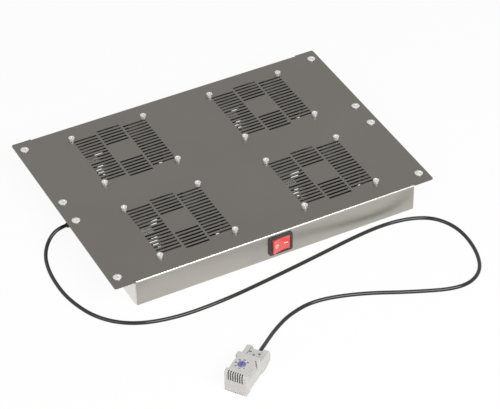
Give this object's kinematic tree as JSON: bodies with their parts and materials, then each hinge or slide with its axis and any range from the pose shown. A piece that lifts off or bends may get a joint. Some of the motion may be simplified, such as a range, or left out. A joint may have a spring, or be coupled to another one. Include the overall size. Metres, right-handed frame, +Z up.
{
  "type": "rack fan tray",
  "caption": "Ventilated rack tray with fans under slotted grilles, a lit rocker switch in its front wall and a cabinet thermostat on a cord.",
  "frame": {"origin": "centre of the rack hole pattern, in the underside of the ears (the rail face)", "axes": "+X right along the front edge, +Y to the rear, +Z up out of the grilles; the ears bolt down on their rails along -Z"},
  "size_m": [0.5437, 0.5765, 0.0479],
  "materials": {
    "tray_paint": "satin powder coat, slightly darker on the top plate",
    "wall_paint": "satin powder coat",
    "bright_steel": "bright zinc plate",
    "tinned_plate": "tinned, dull",
    "switch_plastic": "fine grain",
    "red_rocker": "lit translucent red",
    "inlet_plastic": "fine grain",
    "brass_pins": "plated",
    "black_screws": "black oxide",
    "relief_rubber": "matt",
    "cord_sheath": "glossy",
    "block_plastic": "moulded",
    "lead_sheath": "satin",
    "fan_black": "satin black",
    "core_steel": "laminated",
    "winding_tape": "varnished",
    "guard_chrome": "bright",
    "stat_plastic": "light grey, fine grain",
    "dial_plastic": "smooth",
    "scale_film": "smooth, printed",
    "spring_steel": "plain"
  },
  "bodies": {
    "tray": {"tray_panel": "tray_paint", "left_side_wall": "wall_paint", "right_side_wall": "wall_paint", "rack_screws": "bright_steel", "fan_screws": "bright_steel", "fan_nuts": "bright_steel", "guard_screws": "bright_steel", "guard_nuts": "bright_steel", "fan_frame_1": "fan_black", "bearings_1": "bright_steel", "stator_core_1": "core_steel", "winding_1": "winding_tape", "finger_guard_1": "guard_chrome", "fan_frame_2": "fan_black", "bearings_2": "bright_steel", "stator_core_2": "core_steel", "winding_2": "winding_tape", "finger_guard_2": "guard_chrome", "fan_frame_3": "fan_black", "bearings_3": "bright_steel", "stator_core_3": "core_steel", "winding_3": "winding_tape", "finger_guard_3": "guard_chrome", "fan_frame_4": "fan_black", "bearings_4": "bright_steel", "stator_core_4": "core_steel", "winding_4": "winding_tape", "finger_guard_4": "guard_chrome", "fan_terminals": "tinned_plate", "switch_body": "switch_plastic", "switch_terminals": "tinned_plate", "power_inlet": "inlet_plastic", "inlet_pins": "brass_pins", "inlet_screws": "black_screws", "inlet_nuts": "bright_steel", "strain_relief": "relief_rubber", "relief_locknut": "inlet_plastic", "thermostat_cord": "cord_sheath", "inner_cord": "cord_sheath", "terminal_block": "block_plastic", "lead_wires": "lead_sheath", "thermostat_base": "stat_plastic", "thermostat_cover": "stat_plastic", "scale_plate": "scale_film", "thermostat_screws": "brass_pins", "rail_clip": "spring_steel", "bimetal_strip": "spring_steel"},
    "impeller_1": {"impeller_1": "fan_black", "fan_shaft_1": "bright_steel"},
    "impeller_2": {"impeller_2": "fan_black", "fan_shaft_2": "bright_steel"},
    "impeller_3": {"impeller_3": "fan_black", "fan_shaft_3": "bright_steel"},
    "impeller_4": {"impeller_4": "fan_black", "fan_shaft_4": "bright_steel"},
    "rocker": {"rocker": "red_rocker"},
    "dial": {"thermostat_dial": "dial_plastic"}
  },
  "joints": [
    {"name": "impeller_spin_1", "type": "hinge", "parent": "tray", "child": "impeller_1", "pos_m": [-0.1074, 0.08885, -0.019], "axis": [0, 0, 1], "continuous": true},
    {"name": "impeller_spin_2", "type": "hinge", "parent": "tray", "child": "impeller_2", "pos_m": [0.1134, 0.08885, -0.019], "axis": [0, 0, 1], "continuous": true},
    {"name": "impeller_spin_3", "type": "hinge", "parent": "tray", "child": "impeller_3", "pos_m": [-0.1074, -0.08765, -0.019], "axis": [0, 0, 1], "continuous": true},
    {"name": "impeller_spin_4", "type": "hinge", "parent": "tray", "child": "impeller_4", "pos_m": [0.1134, -0.08765, -0.019], "axis": [0, 0, 1], "continuous": true},
    {"name": "rocker_tilt", "type": "hinge", "parent": "tray", "child": "rocker", "pos_m": [0.0022, -0.1759, -0.019], "axis": [0, 0, 1], "range_deg": [-16, 0]},
    {"name": "dial_turn", "type": "hinge", "parent": "tray", "child": "dial", "pos_m": [-0.15971, -0.37288, -0.0075], "axis": [0, 0, 1], "range_deg": [-135, 135]}
  ]
}
